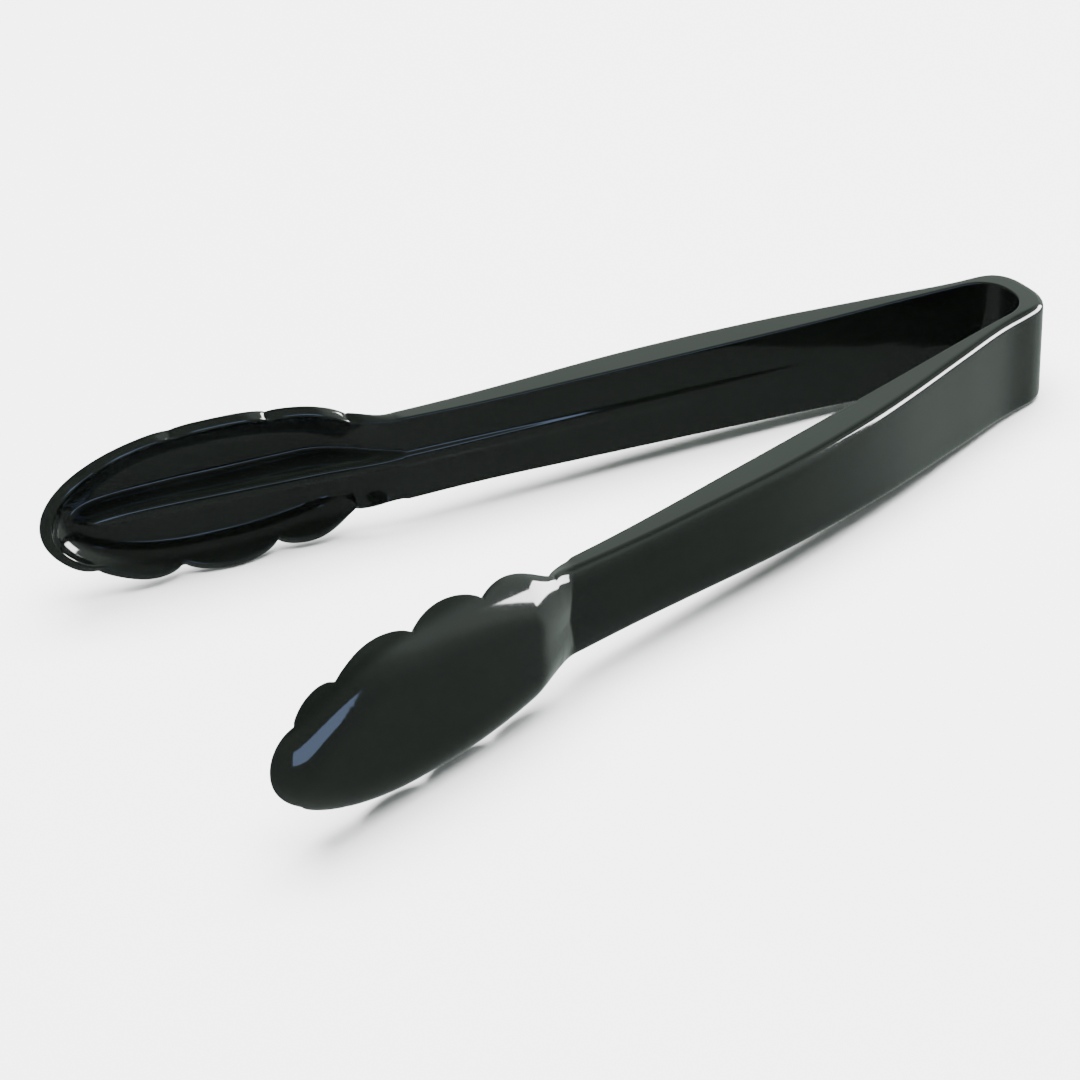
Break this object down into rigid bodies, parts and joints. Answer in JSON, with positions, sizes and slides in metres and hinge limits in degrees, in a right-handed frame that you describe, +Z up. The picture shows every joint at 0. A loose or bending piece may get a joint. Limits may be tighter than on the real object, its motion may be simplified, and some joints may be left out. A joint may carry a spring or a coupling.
{
  "type": "spring loaded kitchen tongs",
  "caption": "Moulded V-shaped serving tongs lying on one side: a sprung U bend joins two flat arms with spoon-shaped jaws, ribbed inside and scalloped along both edges.",
  "frame": {"origin": "centre of the bounding box in plan, at the level of the lowest lips, with the tongs lying on one side", "axes": "+X from the jaws to the spring bend, +Y from the front arm to the rear arm, +Z up, across the flat of the tongs"},
  "size_m": [0.2282, 0.115, 0.0388],
  "materials": {
    "black_plastic": "glossy moulded black with a slight green cast"
  },
  "bodies": {
    "bend": {"spring_bend": "black_plastic"},
    "front_side": {"front_arm": "black_plastic", "front_jaw": "black_plastic"},
    "rear_side": {"rear_arm": "black_plastic", "rear_jaw": "black_plastic"}
  },
  "joints": [
    {"name": "rear_flex", "type": "hinge", "parent": "bend", "child": "rear_side", "pos_m": [0.0999, 0.0104, 0.0195], "axis": [0, 0, 1], "range_deg": [-4, 13.5], "stiffness_Nm_per_rad": 3, "deforming": ["spring_bend"]},
    {"name": "front_flex", "type": "hinge", "parent": "bend", "child": "front_side", "pos_m": [0.0999, -0.0104, 0.0195], "axis": [0, 0, -1], "range_deg": [-4, 13.5], "stiffness_Nm_per_rad": 3, "deforming": ["spring_bend"]}
  ],
  "couplings": [
    {"joint": "front_flex", "follows": "rear_flex", "ratio": 1}
  ]
}
